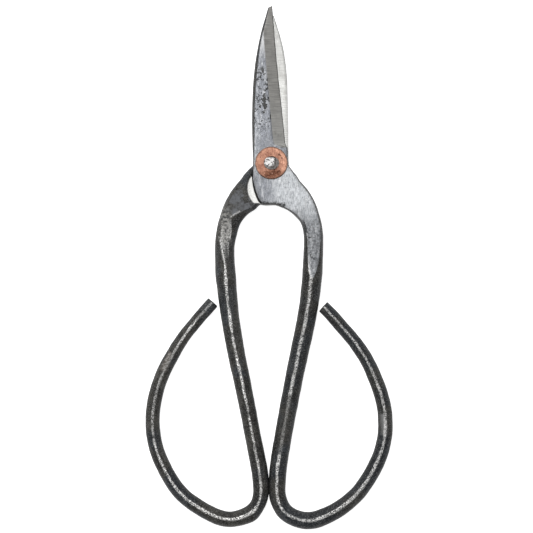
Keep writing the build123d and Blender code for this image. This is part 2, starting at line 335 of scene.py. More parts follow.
def ring_back(left, right, width, crown, along, on_blade):
    """The lap side, from right to left: outer flank, facets, recess between two walls, arch flank."""
    span = (0.0, width) if on_blade else recess_span(left, right, width)
    if span and width - span[1] < MIN_LIP:
        rest = np.linspace(width, 0, RECESS + 1)
        rise = np.full(rest.shape, LAP_FACE)
        if on_blade:
            rise = LAP_FACE + BACK_ROLL_DROP * (1 - ease(rest / BACK_ROLL_WIDTH))
        a = np.concatenate([np.full(FLANK + CROWN + 1, width), rest, np.zeros(FLANK)])
        return a, np.concatenate([np.full(FLANK + CROWN + 1, LAP_FACE), rise, np.full(FLANK, rise[-1])])
    key = (1 - math.cos(KEY_ANGLE)) / 2
    spots, *ridges = zip(*FACETS)
    u1, h1, u2, h2, u3, h3 = (np.interp(along, spots, values) for values in ridges)
    faceted = 1 - fade(along, *FACETS_END)
    b1, b2, b3 = (b + faceted * (u - b) for b, u in ((key, u1), (0.5, u2), (1 - key, u3)))

    def depth(u):
        """Depth below the lap plane at u, from the outer side (0) to the arch side (1)."""
        round_bar = np.sqrt(np.clip(1 - (2 * u - 1) ** 2, 0, 1))
        sine = lambda x: np.sqrt(np.clip(1 - (1 - x) ** 2, 0, 1))
        chord = 1 - math.cos(SHOULDER_ANGLE)
        outer = h1 * sine(np.clip(u / u1, 0, 1) * chord) / math.sin(SHOULDER_ANGLE)
        inner = h3 * sine(np.clip((1 - u) / (1 - u3), 0, 1) * chord) / math.sin(SHOULDER_ANGLE)
        flat = np.interp(u, [u1, u2, u3], [h1, h2, h3])
        facets = np.where(u < u1, outer, np.where(u > u3, inner, flat))
        return crown * (round_bar + faceted * (facets - round_bar))

    turned = lambda n: 1 - np.cos(np.linspace(0, math.pi / 2, n + 1))
    if span:
        near, far = span
        end, start = 1 - (far + STEP_WALL) / width, 1 - max(0.0, near - STEP_WALL) / width
    else:  # no recess here: its strip is folded away where it will begin
        fold = b3 + (RECESS_FOLD - b3) * fade(along, 16, 11)
        near = far = width * (1 - fold)
        end = start = fold
    b1, b2 = min(b1, end), min(b2, end)
    crown_run = [np.linspace(b1, b2, CROWN // 2 + 1)[:-1], np.linspace(b2, end, CROWN // 2 + 1)]
    u = np.concatenate([b1 * turned(FLANK)[:-1], *crown_run])
    lip = np.ones(FLANK + 1)
    if near:
        lip = start + (1 - start) * np.sin(np.linspace(0, math.pi / 2, FLANK + 1))
    z = -depth(u)
    rest = np.linspace(far, near, RECESS + 1)
    rest_z = np.full(rest.shape, LAP_FACE) if span else np.full(rest.shape, z[-1])
    lip_z = -depth(lip) if near else np.full(FLANK + 1, LAP_FACE)
    a = np.concatenate([width * (1 - u), rest, width * (1 - lip[1:])])
    return a, np.concatenate([z, rest_z, lip_z[1:]])


def ring(left, right, along, thickness, on_bar):
    """One closed ring: its points, and the surface of each face round it."""
    width = float(np.linalg.norm(right - left))
    crown = thickness / 2
    if on_bar:
        a, z, kinds = bar_top(width, crown, (left[1] + right[1]) / 2, along)
    else:
        a, z, kinds = plate_top(left, right, width)
    on_blade = not on_bar and right[1] > BLADE_FROM
    back_a, back_z = ring_back(left, right, width, crown, along, on_blade)
    z[0], z[-1] = back_z[-1], back_z[0]
    a = np.concatenate([a, back_a[1:-1]])
    z = np.concatenate([z, back_z[1:-1]])
    points = np.empty((len(a), 3))
    points[:, :2] = left + (right - left) * a[:, None] / width
    points[:, 2] = z
    rest = points[-RECESS - FLANK : -FLANK]
    neck_x, neck_y = NECK_SCALE
    sliding = [SCALE if x > neck_x and y > neck_y and not on_blade else INNER for x, y, _ in rest]
    return points, kinds + [SCALE] * (FLANK + CROWN + 1) + sliding + [SCALE] * FLANK


def strayed(p, half):
    """A ring's points, moved off the even bends as hand forging leaves them."""
    middle = p[:, :2].mean(axis=0)
    for x, y, reach, dx, dy in half["strays"]:
        p[:, :2] += np.array((dx, dy)) * math.exp(-((math.hypot(*(middle - (x, y))) / reach) ** 2))
    if "lip" in half:
        x, y, reach, drop = half["lip"]
        p[:, 1] -= drop * np.exp(-(((p[:, 0] - x) / reach) ** 2)) * ease(y - p[:, 1])
    if p[:, 0].max() < TOUCH_RINGS:
        near = (p[:, 0].max() - p[:, 0]) / np.ptp(p[:, 0])
        fade_y = np.where(p[:, 1] > TOUCH_Y, *TOUCH_FADE)
        p[:, 0] -= TOUCH_SHIFT * near * np.exp(-(((p[:, 1] - TOUCH_Y) / fade_y) ** 2))
    return p


def forging_mesh(name, half):
    """The whole forging as one closed mesh, in its own frame."""
    bar_left, bar_right, along, thickness = bar_rings(half)
    left, right = plate_rings(half, bar_left[-1], bar_right[-1])
    rings = [ring(l, r, s, t, True) for l, r, s, t in zip(bar_left, bar_right, along, thickness)]
    rings += [ring(l, r, 0, thickness[-1], False) for l, r in zip(left, right)]
    points = [strayed(p, half) for p, _ in rings]
    kinds = [k for _, k in rings]

    # The cut end: a small chamfer, then flat
    ahead = (points[0] - points[1]).mean(axis=0)
    ahead /= np.linalg.norm(ahead)
    middle = points[0].mean(axis=0)
    points.insert(0, middle + (points[0] - middle) * END_SIZE + ahead * END_REACH)
    kinds.insert(0, [SCALE] * len(kinds[0]))

    verts = np.vstack(points)
    n = len(points[0])
    faces, surfaces = [], []
    for i in range(len(points) - 1):
        for j in range(n):
            k = (j + 1) % n
            faces.append((i * n + j, i * n + k, (i + 1) * n + k, (i + 1) * n + j))
            surfaces.append(kinds[i + 1][j])
    for i, flip in ((0, False), (len(points) - 1, True)):
        faces.append([i * n + j for j in (range(n) if flip else reversed(range(n)))])
        surfaces.append(SCALE)
    mesh = bpy.data.meshes.new(name)
    mesh.from_pydata(verts.tolist(), [], faces)
    mesh.polygons.foreach_set("material_index", surfaces)
    return mesh


def clean(mesh):
    """Merge the points that lie on each other, and close the two ends with triangles."""
    bm = bmesh.new()
    bm.from_mesh(mesh)
    bmesh.ops.remove_doubles(bm, verts=bm.verts, dist=MERGE)
    bmesh.ops.dissolve_degenerate(bm, edges=bm.edges, dist=MERGE)
    caps = [f for f in bm.faces if len(f.verts) > 8]
    if caps:
        bmesh.ops.poke(bm, faces=caps)
    bmesh.ops.recalc_face_normals(bm, faces=bm.faces)
    bm.to_mesh(mesh)
    bm.free()


def hammered(mesh, seed):
    """Hammer marks on the forged skin, and faint ones on the ground faces."""
    weight = np.ones(len(mesh.vertices))
    for face in mesh.polygons:
        if face.material_index != SCALE:
            weight[list(face.vertices)] = GROUND_MARKS
    moved = np.empty((len(mesh.vertices), 3))
    for v, w in zip(mesh.vertices, weight):
        p = v.co + Vector((seed, 0, 0))
        dent = sum(depth * noise.noise(p / size) for depth, size in HAMMER_MARKS)
        moved[v.index] = v.co + v.normal * dent * w
    mesh.vertices.foreach_set("co", moved.ravel())


def place(mesh, turned):
    """From the half's own frame to the shared frame, in metres."""
    co = np.empty(len(mesh.vertices) * 3)
    mesh.vertices.foreach_get("co", co)
    co = co.reshape(-1, 3)
    if turned:
        co[:, [0, 2]] *= -1
    co[:, 2] += LAP_HEIGHT
    mesh.vertices.foreach_set("co", (co * MM).ravel())
    mesh.update()


def finish_piece(mesh, name, body, materials, sharp):
    """The piece of the frame made from a mesh, with edges sharper than so many degrees kept hard."""
    for face in mesh.polygons:
        face.use_smooth = True
    mesh.set_sharp_from_angle(angle=math.radians(sharp))
    for material in materials:
        mesh.materials.append(material)
    piece = bpy.data.objects.new(name + "_forged", mesh)
    bpy.context.scene.collection.objects.link(piece)
    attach(piece, body)
    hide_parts(name)


def bored(mesh, radius):
    """The mesh with the rivet's hole through it."""
    segments, depth = 48, 20
    bm = bmesh.new()
    bmesh.ops.create_cone(bm, cap_ends=True, segments=segments, radius1=radius, radius2=radius, depth=depth)
    tool_mesh = bpy.data.meshes.new("drill")
    bm.to_mesh(tool_mesh)
    bm.free()
    tool = bpy.data.objects.new("drill", tool_mesh)
    body = bpy.data.objects.new("blank", mesh)
    for o in (tool, body):
        bpy.context.scene.collection.objects.link(o)
    cut = body.modifiers.new("hole", "BOOLEAN")
    cut.operation, cut.object, cut.solver = "DIFFERENCE", tool, "EXACT"
    depsgraph = bpy.context.evaluated_depsgraph_get()
    result = bpy.data.meshes.new_from_object(body.evaluated_get(depsgraph))
    result.name = mesh.name + "_bored"
    for o in (tool, body):
        bpy.data.objects.remove(o)
    return result


def forging(name, half, body, materials, hole_radius, seed):
    """One half of the snips."""
    mesh = forging_mesh(name + "_mesh", half)
    clean(mesh)
    hammered(mesh, seed)
    mesh = bored(mesh, hole_radius)
    place(mesh, half["turned"])
    finish_piece(mesh, name, body, materials, 35)


# --- Materials ---
class Nodes:
    """A short way to write a material's node tree."""

    def __init__(self, name):
        self.material = bpy.data.materials.new(name)
        self.material.use_nodes = True
        self.tree = self.material.node_tree
        self.shader = self.tree.nodes["Principled BSDF"]
        coords = self.tree.nodes.new("ShaderNodeTexCoord")
        self.place = coords.outputs["Object"]
        self.x, self.y = (self.times(self.axis(self.place, i), 1 / MM) for i in (0, 1))  # in millimetres
        self.normal = [self.axis(coords.outputs["Normal"], i) for i in range(3)]

    def link(self, value, socket):
        if isinstance(value, bpy.types.NodeSocket):
            self.tree.links.new(value, socket)
        else:
            socket.default_value = value

    def noise(self, size, detail=3, roughness=0.5, stretch=(1, 1, 1), distortion=0.0):
        """Noise with features of about that size in millimetres, stretched along an axis."""
        mapping = self.tree.nodes.new("ShaderNodeMapping")
        mapping.inputs["Scale"].default_value = [1 / (s * size * MM) for s in stretch]
        self.tree.links.new(self.place, mapping.inputs["Vector"])
        node = self.tree.nodes.new("ShaderNodeTexNoise")
        node.inputs["Scale"].default_value = 1
        node.inputs["Detail"].default_value = detail
        node.inputs["Roughness"].default_value = roughness
        node.inputs["Distortion"].default_value = distortion
        self.tree.links.new(mapping.outputs["Vector"], node.inputs["Vector"])
        return node.outputs["Fac"]

    def cells(self, size):
        """Distance from the nearest of many points, about size millimetres apart, as a share of size."""
        node = self.tree.nodes.new("ShaderNodeTexVoronoi")
        node.inputs["Scale"].default_value = 1 / (size * MM)
        self.tree.links.new(self.place, node.inputs["Vector"])
        return node.outputs["Distance"]

    def ramp(self, value, low, high, to_low=0.0, to_high=1.0):
        node = self.tree.nodes.new("ShaderNodeMapRange")
        node.interpolation_type = "SMOOTHSTEP"
        for key, v in (("From Min", low), ("From Max", high), ("To Min", to_low), ("To Max", to_high)):
            node.inputs[key].default_value = v
        self.link(value, node.inputs["Value"])
        return node.outputs["Result"]

    def math(self, operation, a, b=0.0):
        node = self.tree.nodes.new("ShaderNodeMath")
        node.operation = operation
        self.link(a, node.inputs[0])
        self.link(b, node.inputs[1])
        return node.outputs[0]

    def plus(self, a, b):
        return self.math("ADD", a, b)

    def minus(self, a, b):
        return self.math("SUBTRACT", a, b)

    def times(self, a, b):
        return self.math("MULTIPLY", a, b)

    def larger(self, a, b):
        return self.math("MAXIMUM", a, b)

    def absolute(self, a):
        return self.math("ABSOLUTE", a)

    def from_centre(self, x, y):
        """Distance across the face of the snips from the point that x and y are counted from."""
        return self.math("SQRT", self.plus(self.times(x, x), self.times(y, y)))

    def mix(self, factor, a, b):
        node = self.tree.nodes.new("ShaderNodeMix")
        node.data_type = "RGBA"
        self.link(factor, node.inputs[0])
        self.link(a if isinstance(a, bpy.types.NodeSocket) else (*a, 1), node.inputs[6])
        self.link(b if isinstance(b, bpy.types.NodeSocket) else (*b, 1), node.inputs[7])
        return node.outputs[2]

    def axis(self, source, index):
        node = self.tree.nodes.new("ShaderNodeSeparateXYZ")
        self.tree.links.new(source, node.inputs[0])
        return node.outputs[index]

    def bump(self, height, depth):
        """Bump whose full height is that many millimetres."""
        node = self.tree.nodes.new("ShaderNodeBump")
        node.inputs["Strength"].default_value = 1
        node.inputs["Distance"].default_value = depth * MM
        self.link(height, node.inputs["Height"])
        self.tree.links.new(node.outputs["Normal"], self.shader.inputs["Normal"])

    def set(self, **values):
        for key, value in values.items():
            socket = self.shader.inputs[key.replace("_", " ")]
            if isinstance(value, tuple) and len(value) == 3:
                value = (*value, 1)
            self.link(value, socket)


def grey(value, tint=(1, 1, 1)):
    """A linear colour from a display grey level of 0 to 255."""
    c = value / 255
    linear = ((c + 0.055) / 1.055) ** 2.4 if c > 0.04 else c / 12.92
    return tuple(linear * t for t in tint)


LINE_END = (0.6, 0.4)  # a line's mask fades from this far past each end to this far inside it
GRIND_SLOPE = 0.093  # how far the blade's grind line goes left for each millimetre up the blade


def near_line(m, start, end, reach):
    """A mask of 1 on a line across the face of the snips, fading over reach to its sides."""
    step = Vector(end) - Vector(start)
    along = step.normalized()
    x, y = m.minus(m.x, start[0]), m.minus(m.y, start[1])
    t = m.plus(m.times(x, along[0]), m.times(y, along[1]))
    off = m.minus(m.times(x, along[1]), m.times(y, along[0]))
    outside, inside = LINE_END
    mask = m.times(m.ramp(t, -outside, inside), m.ramp(t, step.length + outside, step.length - inside))
    return m.times(mask, m.ramp(m.absolute(off), reach, 0))


def near_lines(m, lines):
    """The same for several lines, each (start, end, reach, strength)."""
    mask = 0.0
    for start, end, reach, strength in lines:
        mask = m.larger(mask, m.times(near_line(m, start, end, reach), strength))
    return mask


def mottled_scale(m, cloud, grain, up):
    """The scale's colour: bluish in places and olive in others, darker on the right bar, and darker still on
    its steep sides as painted shade.
    """
    tint = m.minus(m.noise(14, 2, 0.5), m.ramp(m.x, -2, 8, 0, 0.09))
    cool = m.mix(m.ramp(cloud, 0.38, 0.64), grey(46, (0.9, 1.02, 1.16)), grey(66, (0.91, 1.02, 1.15)))
    warm = m.mix(m.ramp(cloud, 0.38, 0.64), grey(48, (1.03, 1, 0.92)), grey(72, (1.06, 1.02, 0.9)))
    colour = m.mix(m.ramp(tint, 0.38, 0.5), cool, warm)
    lighter = near_line(m, (-14.5, -30), (-12.5, -62), 4)
    colour = m.mix(m.times(lighter, 0.4), colour, grey(78, (1, 1, 0.97)))
    colour = m.mix(m.ramp(m.x, 4, 8, 0, 0.3), colour, grey(30, (0.9, 1, 1.15)))
    colour = m.mix(m.ramp(grain, 0.52, 0.66, 0, 0.75), colour, grey(104, (1.01, 1.01, 1)))
    colour = m.mix(m.ramp(grain, 0.48, 0.38, 0, 0.75), colour, grey(12))
    # Painted shade: the steep sides are darkened against the top
    return m.mix(m.ramp(up, 0.8, 0.2, 0, 0.75), colour, grey(14, (0.95, 1, 1.05)))


def scoured_shoulder(m, colour, shoulder, mottle, up):
    """The shoulder is scoured, not rubbed: blotched with lighter grey, but less on a strip beside the recess.
    """
    strip_beside_recess = near_line(m, (-9.1, -4.2), (-8.3, -13.2), 1.5)
    blotch = m.plus(m.noise(2.8, 4, 0.6), m.times(m.minus(mottle, 0.5), 0.7))
    blotch = m.minus(blotch, m.times(strip_beside_recess, 0.2))
    blotch = m.times(m.ramp(blotch, 0.38, 0.66), m.ramp(up, 0.86, 0.97))
    return m.mix(m.times(shoulder, blotch), colour, grey(106, (0.96, 1.0, 1.08)))


def crest_wear_and_highlight(m, up, shoulder):
    """Where the bar is rubbed bare, with a painted highlight on it: a line near its crest that wanders a
    little and is dull in places.
    """
    # The line leans left of the crest, but right on the left loop's outer side, and towards the blades,
    # following where the lamps' highlight falls
    lean_x = m.plus(m.ramp(m.x, -4, 4, 0.03, 0.085), m.times(m.ramp(m.x, -26, -32), -0.065))
    lean_y = m.times(m.normal[1], m.ramp(m.x, -33, -26, 0, 0.11))
    lean = m.minus(lean_y, m.times(m.normal[0], lean_x))
    crest = m.plus(m.times(up, 0.993), lean)
    sway = m.times(m.minus(m.noise(6, 3, 0.6), 0.5), 0.03)
    loop = m.ramp(m.absolute(m.x), 20, 30)
    bare_and_highlit = m.ramp(m.plus(m.plus(crest, sway), m.times(loop, 0.004)), 0.97, 0.995)
    dull = m.times(m.ramp(m.x, -26, -34), m.ramp(m.y, -100, -90, 0, 0.45))
    dull = m.larger(dull, m.ramp(m.x, 4, 10, 0, 0.28))
    dull_spots = [((7.2, -79), (2.8, -99), 6, 0.7), ((-19.5, -45.5), (-25.5, -53.5), 4, 0.6)]
    dull = m.larger(dull, near_lines(m, dull_spots))
    return m.times(m.times(bare_and_highlit, m.minus(1, dull)), m.minus(1, shoulder))


def pitted_band(m, cloud):
    """A mask of the rough band on the left bar, just below its shoulder."""
    reach = m.plus(m.y, m.times(m.minus(cloud, 0.5), 12))
    band = m.times(m.ramp(reach, -11.5, -18), m.ramp(reach, -31.5, -24.5))
    return m.times(band, near_line(m, (-15.9, -12), (-15.3, -34), 2.9))


def scale_material():
    """Forge scale: near-black, mottled, with painted shade on its steep sides, and bare metal with a painted
    highlight along the crest of the bar.
    """
    m = Nodes("forge_scale")
    up = m.absolute(m.normal[2])
    cloud, grain, mottle = m.noise(5, 4, 0.6), m.noise(0.42, 3, 0.65), m.noise(0.9, 4, 0.7)
    shoulder = m.ramp(m.plus(m.y, m.times(cloud, 6)), -22, -14)
    colour = mottled_scale(m, cloud, grain, up)
    colour = scoured_shoulder(m, colour, shoulder, mottle, up)

    # The band gets neither bare metal nor a painted highlight, apart from a line along it and a short one at
    # the shoulder's foot: painted highlights on ridges, partly bare metal
    band = pitted_band(m, cloud)
    pitted = m.mix(m.ramp(m.noise(0.85, 4, 0.75), 0.4, 0.6), grey(58), grey(172, (1.03, 1.01, 0.95)))
    colour = m.mix(m.times(band, 0.9), colour, pitted)
    unrubbed_and_unhighlit = m.larger(band, near_line(m, (-15.6, -27), (-14.9, -33), 1.3))
    bare_and_highlit = m.times(crest_wear_and_highlight(m, up, shoulder), m.minus(1, m.times(unrubbed_and_unhighlit, 0.9)))
    worn_and_highlit_ridges = [((-17.55, -25), (-16.1, -33), 0.7, 0.95), ((-10.8, -16.3), (-13.9, -18.4), 0.55, 0.6)]
    bare_and_highlit = m.larger(bare_and_highlit, near_lines(m, worn_and_highlit_ridges))
    bare_and_highlit = m.times(bare_and_highlit, m.ramp(m.noise(0.38, 3, 0.7), 0.42, 0.57))

    # A browned patch on top of the left loop, and a lighter one on the right loop
    patch = m.times(near_line(m, (-34.5, -64.4), (-37.0, -70.6), 2.1), m.ramp(m.normal[2], 0.6, 0.85))
    bare_and_highlit = m.times(bare_and_highlit, m.minus(1, m.times(patch, 0.75)))
    browned = m.mix(m.ramp(mottle, 0.44, 0.6), grey(92, (1.12, 0.98, 0.86)), grey(158, (1.04, 1, 0.95)))
    colour = m.mix(m.times(patch, 0.9), colour, browned)
    lighter = near_line(m, (37.9, -85.5), (38.5, -92.5), 1.5)
    colour = m.mix(m.times(lighter, 0.6), colour, grey(150))

    # Bare metal and a painted highlight along the crest and on two ridges
    colour = m.mix(bare_and_highlit, colour, grey(228, (1, 0.99, 0.97)))
    roughness = m.ramp(grain, 0.3, 0.7, 0.36, 0.52)
    m.set(Base_Color=colour, Metallic=bare_and_highlit, Roughness=roughness, Specular_IOR_Level=0.18)
    m.bump(m.plus(m.times(m.noise(1.5, 3), 0.7), m.times(m.noise(0.36, 3), 0.45)), 0.17)
    return m.material


def brushed_steel(m, streak, mottle, grain, low):
    """The ground face's own colour: light where low is 1, on the plate, and dark and blotched on the bar."""
    below = m.ramp(m.y, 0, -5)
    side = m.times(m.ramp(m.absolute(m.x), 2, 6), m.minus(1, below))
    side = m.plus(side, m.times(m.ramp(m.x, -4, 5, 0, 0.92), below))
    side = m.plus(side, m.times(m.noise(4, 4, 0.6), 0.8))
    side = m.times(side, m.ramp(m.y, 4, -3, 0.55, 1))
    light = m.mix(m.ramp(side, 0.4, 1.35), grey(130, (0.945, 0.99, 1.1)), grey(188, (0.965, 1, 1.04)))
    dark = m.mix(m.ramp(mottle, 0.38, 0.62), grey(84, (0.96, 1, 1.06)), grey(150, (0.97, 1, 1.05)))
    wide_streak = m.noise(1.0, 4, 0.65, stretch=(1, 4, 1), distortion=0.6)
    colour = m.mix(low, dark, light)
    colour = m.mix(m.ramp(streak, 0.42, 0.66, 0, 0.6), colour, grey(98, (0.95, 1, 1.07)))
    colour = m.mix(m.ramp(wide_streak, 0.48, 0.66, 0, 0.5), colour, grey(200, (0.985, 1, 1.02)))
    colour = m.mix(m.ramp(mottle, 0.5, 0.68, 0, 0.55), colour, grey(108, (0.94, 1, 1.09)))
    colour = m.mix(m.ramp(grain, 0.56, 0.7, 0, 0.4), colour, grey(84))
    colour = m.mix(m.ramp(grain, 0.44, 0.32, 0, 0.35), colour, grey(212))
    return m.mix(m.ramp(m.y, 35, 42, 0, 0.62), colour, grey(200))


def blade_pits(m):
    """A mask of the pits in the blade, thickest in patches and in two clusters."""
    field = m.times(m.ramp(m.y, 9, 16), m.ramp(m.y, 38, 27))
    patchy = m.times(m.ramp(m.noise(3.6, 2, 0.5), 0.44, 0.58), field)
    from_grind = m.plus(m.x, m.times(m.y, GRIND_SLOPE))
    patchy = m.times(patchy, m.ramp(from_grind, -4.2, -1.8, 0.55, 1))
    cluster = near_lines(m, [((-3.1, 32.6), (-2.9, 30.8), 0.9, 1), ((-2.9, 23.2), (-2.0, 18.8), 1.1, 1)])
    blots = m.plus(m.times(patchy, 0.11), m.times(cluster, 0.22))
    pits = m.ramp(m.plus(m.noise(0.8, 3, 0.65), blots), 0.63, 0.68)
    dots = m.minus(m.cells(1.1), m.times(patchy, 0.2))
    dots = m.minus(dots, m.times(m.minus(m.noise(0.5, 2, 0.5), 0.5), 0.5))
    pits = m.larger(pits, m.ramp(dots, 0.2, 0.13))
    return m.times(pits, m.larger(field, cluster))


def plate_stains(m):
    """A mask of the stains on the bar's flat and of the dirt along the arch."""
    stained = near_lines(m, [
        ((10.9, -19.2), (12.2, -23.8), 0.8, 1),
        ((11.2, -25.4), (15.5, -25.2), 0.3, 1),
        ((13.4, -31), (14.4, -33.5), 0.9, 0.6),
        ((-3.4, -13.75), (1.4, -14.1), 1.7, 1),
        ((1.4, -14.1), (4.6, -14.5), 1.7, 1),
    ])
    stains = m.ramp(m.plus(m.noise(0.8, 4, 0.7), m.times(stained, 0.22)), 0.62, 0.74)
    return m.times(stains, m.ramp(stained, 0, 0.3))


def flat_material():
    """The ground face: bluish steel brushed along the blade, darker on the bar, pitted on the blade."""
    m = Nodes("ground_flat")
    streak = m.noise(0.32, 4, 0.65, stretch=(1, 5, 1), distortion=0.5)
    mottle, grain = m.noise(1.0, 4, 0.7), m.noise(0.42, 3, 0.7)
    low = m.ramp(m.plus(m.y, m.times(m.noise(4, 3), 9)), -19.5, -8)
    colour = brushed_steel(m, streak, mottle, grain, low)
    pits = m.larger(blade_pits(m), plate_stains(m))
    colour = m.mix(pits, colour, grey(34))

    # Scratches across the bar's flat, a shaded rim along the lap border, and two edges that are partly worn
    # and partly a painted highlight
    across = m.times(m.ramp(m.noise(0.3, 3, 0.6, stretch=(8, 1, 1)), 0.48, 0.58), m.minus(1, low))
    colour = m.mix(m.times(across, 0.5), colour, grey(96, (0.95, 1, 1.05)))
    border = [(-6.2, 2), (-6.3, -3), (-5.9, -7.5), (-4.9, -10.8), (-3.4, -13.4)]
    for start, end in zip(border, border[1:]):
        shaded = near_line(m, start, end, 1.3)
        colour = m.mix(m.times(shaded, 0.6), colour, grey(96, (0.97, 1, 1.03)))
    # Worn edges with a painted highlight along the left rim of the bar's flat
    worn = near_lines(m, [((12.0, -24), (12.3, -33.5), 0.45, 1), ((12.4, -33.5), (13.5, -38.6), 0.45, 1)])
    worn = m.times(worn, m.ramp(m.noise(0.7, 3, 0.6), 0.38, 0.55))
    colour = m.mix(m.times(worn, 0.7), colour, grey(215))

    metallic = m.minus(0.6, m.times(pits, 0.6))
    roughness = m.ramp(streak, 0.3, 0.7, 0.42, 0.54)
    m.set(Base_Color=colour, Metallic=metallic, Roughness=roughness, Specular_IOR_Level=0.5)
    m.bump(m.minus(m.plus(streak, grain), m.times(pits, 3)), 0.022)
    return m.material


def bevel_material():
    """The bevel: warmer and darker steel, with fine grinding lines across the blade."""
    m = Nodes("ground_bevel")
    line = m.noise(0.24, 3, 0.6, stretch=(24, 1, 24))
    cloud = m.noise(4, 3, 0.6)
    colour = m.mix(m.ramp(line, 0.3, 0.7), grey(138, (1.02, 1, 0.95)), grey(182, (1.02, 1, 0.95)))
    colour = m.mix(m.ramp(cloud, 0.45, 0.7, 0, 0.5), colour, grey(128, (1.02, 1, 0.96)))
    colour = m.mix(m.ramp(m.y, 26, 10, 0, 0.3), colour, grey(205, (1, 1, 0.96)))
    stain = m.times(m.ramp(m.noise(2.2, 4, 0.65), 0.52, 0.66), m.ramp(m.y, 13, 9))
    colour = m.mix(m.times(stain, 0.45), colour, grey(92, (1.08, 0.98, 0.88)))
    m.set(Base_Color=colour, Metallic=0.5, Roughness=0.45, Specular_IOR_Level=0.5)
    m.bump(line, 0.012)
    return m.material


def inner_material():
    """The sliding face: polished bright, with faint scratches, some rust and a painted shadow line at the
    border of the recess.
    """
    m = Nodes("inner_polish")
    scratch = m.noise(0.35, 3, 0.5, stretch=(14, 1, 14))
    cloud = m.noise(3.5, 3, 0.6)
    colour = m.mix(m.ramp(scratch, 0.3, 0.7), grey(176, (1, 1, 0.96)), grey(206, (1, 1, 0.975)))
    colour = m.mix(m.ramp(cloud, 0.48, 0.7, 0, 0.6), colour, grey(158, (1.01, 1, 0.95)))
    colour = m.mix(m.ramp(m.y, 0, -5, 0, 0.8), colour, grey(220, (1, 1, 0.975)))
    colour = m.mix(m.ramp(m.y, 25, 42, 0, 0.45), colour, grey(160, (1, 1, 0.97)))
    rust = m.times(near_line(m, (-7.9, -7.5), (-6.8, -12.5), 0.9), m.ramp(m.noise(0.7, 4, 0.7), 0.48, 0.62))
    colour = m.mix(m.times(rust, 0.5), colour, grey(140, (1.02, 1, 0.93)))
    # A painted shadow along the foot of the recess wall
    x, y = (float(c) for c in BORDER_RECESS_CENTRE)
    radius = m.from_centre(m.minus(m.absolute(m.x), x), m.minus(m.y, y))
    outline = m.ramp(radius, BORDER_RECESS_RADIUS - 0.4, BORDER_RECESS_RADIUS - 0.1, 0, 0.8)
    outline = m.times(outline, m.ramp(m.y, -1.15, -1.95))
    colour = m.mix(outline, colour, grey(36))
    m.set(Base_Color=colour, Metallic=0.5, Roughness=0.45, Specular_IOR_Level=0.5)
    m.bump(scratch, 0.01)
    return m.material


def copper_material():
    """Copper: salmon, darker below the rivet, with scratches, small dark pits and a darker rim."""
    m = Nodes("copper")
    cloud, fine = m.noise(2.6, 4, 0.6), m.noise(0.55, 4, 0.7)
    scratch = m.noise(0.3, 4, 0.65, stretch=(1, 4, 1), distortion=0.6)
    colour = m.mix(m.ramp(cloud, 0.38, 0.64), (0.585, 0.315, 0.215), (0.42, 0.205, 0.14))
    colour = m.mix(m.ramp(scratch, 0.42, 0.62, 0, 0.6), colour, (0.24, 0.10, 0.062))
    sway = m.times(m.minus(cloud, 0.5), 6)
    below = m.plus(m.plus(m.y, m.times(m.absolute(m.x), 0.35)), sway)
    # Darker below the rivet, darkest just below its head
    darker_below = m.ramp(below, -0.8, -3.6)
    colour = m.mix(m.times(darker_below, 0.7), colour, (0.16, 0.06, 0.03))
    core = near_line(m, (-2.2, -4.1), (3.2, -3.2), 2.1)
    colour = m.mix(m.times(core, 0.7), colour, (0.12, 0.038, 0.016))
    spotted = m.larger(core, near_line(m, (2.2, 3.4), (4.0, 1.2), 0.7))
    spots = m.plus(m.noise(0.8, 4, 0.7), m.times(spotted, 0.14))
    colour = m.mix(m.ramp(spots, 0.6, 0.68, 0, 0.8), colour, (0.06, 0.018, 0.008))
    colour = m.mix(m.ramp(fine, 0.56, 0.68), colour, (0.13, 0.055, 0.035))
    colour = m.mix(m.ramp(fine, 0.44, 0.34, 0, 0.5), colour, (0.72, 0.42, 0.30))
    rim = m.times(m.ramp(m.from_centre(m.x, m.y), 4.9, 5.4), m.ramp(fine, 0.3, 0.6, 0.35, 0.85))
    colour = m.mix(rim, colour, (0.12, 0.07, 0.05))
    roughness = m.ramp(cloud, 0.3, 0.7, 0.45, 0.56)
    m.set(Base_Color=colour, Metallic=0.6, Roughness=roughness, Specular_IOR_Level=0.3)
    m.bump(m.plus(m.noise(1.2, 3), m.times(fine, 0.5)), 0.07)
    return m.material


def rivet_material():
    """The rivet: bright hammered steel with a little dirt, a painted warm reflection on its tilted facets,
    painted shade on two facets and a painted shadow along the top of its head.
    """
    m = Nodes("rivet_steel")
    cloud = m.noise(0.6, 4, 0.65)
    colour = m.mix(m.ramp(cloud, 0.48, 0.58), grey(164, (1, 0.985, 0.97)), grey(56, (1, 0.95, 0.91)))
    # A painted warm reflection on the tilted facets
    tilted_reflection = m.ramp(m.absolute(m.normal[2]), 0.985, 0.94)
    colour = m.mix(m.times(tilted_reflection, 0.4), colour, grey(180, (1.06, 0.94, 0.86)))
    # Painted shade on the facet right of the middle and on the one below it
    shaded_facets = near_lines(m, [((1.25, 1.5), (1.3, -0.6), 0.35, 1), ((-0.2, -1.7), (0.9, -1.4), 0.5, 1)])
    colour = m.mix(m.times(shaded_facets, 0.6), colour, grey(40))
    # A painted shadow along the top rim of the head
    colour = m.mix(near_line(m, (-1.7, 2.15), (1.9, 2.0), 0.5), colour, grey(30, (1.1, 1, 0.9)))
    m.set(Base_Color=colour, Metallic=0.8, Roughness=0.42, Specular_IOR_Level=0.5)
    m.bump(m.noise(0.6, 3), 0.05)
    return m.material


# --- Rivet and washers ---
def outward_mesh(bm, name):
    """The mesh built in bm, with its faces turned outwards."""
    bmesh.ops.recalc_face_normals(bm, faces=bm.faces)
    mesh = bpy.data.meshes.new(name)
    bm.to_mesh(mesh)
    bm.free()
    return mesh


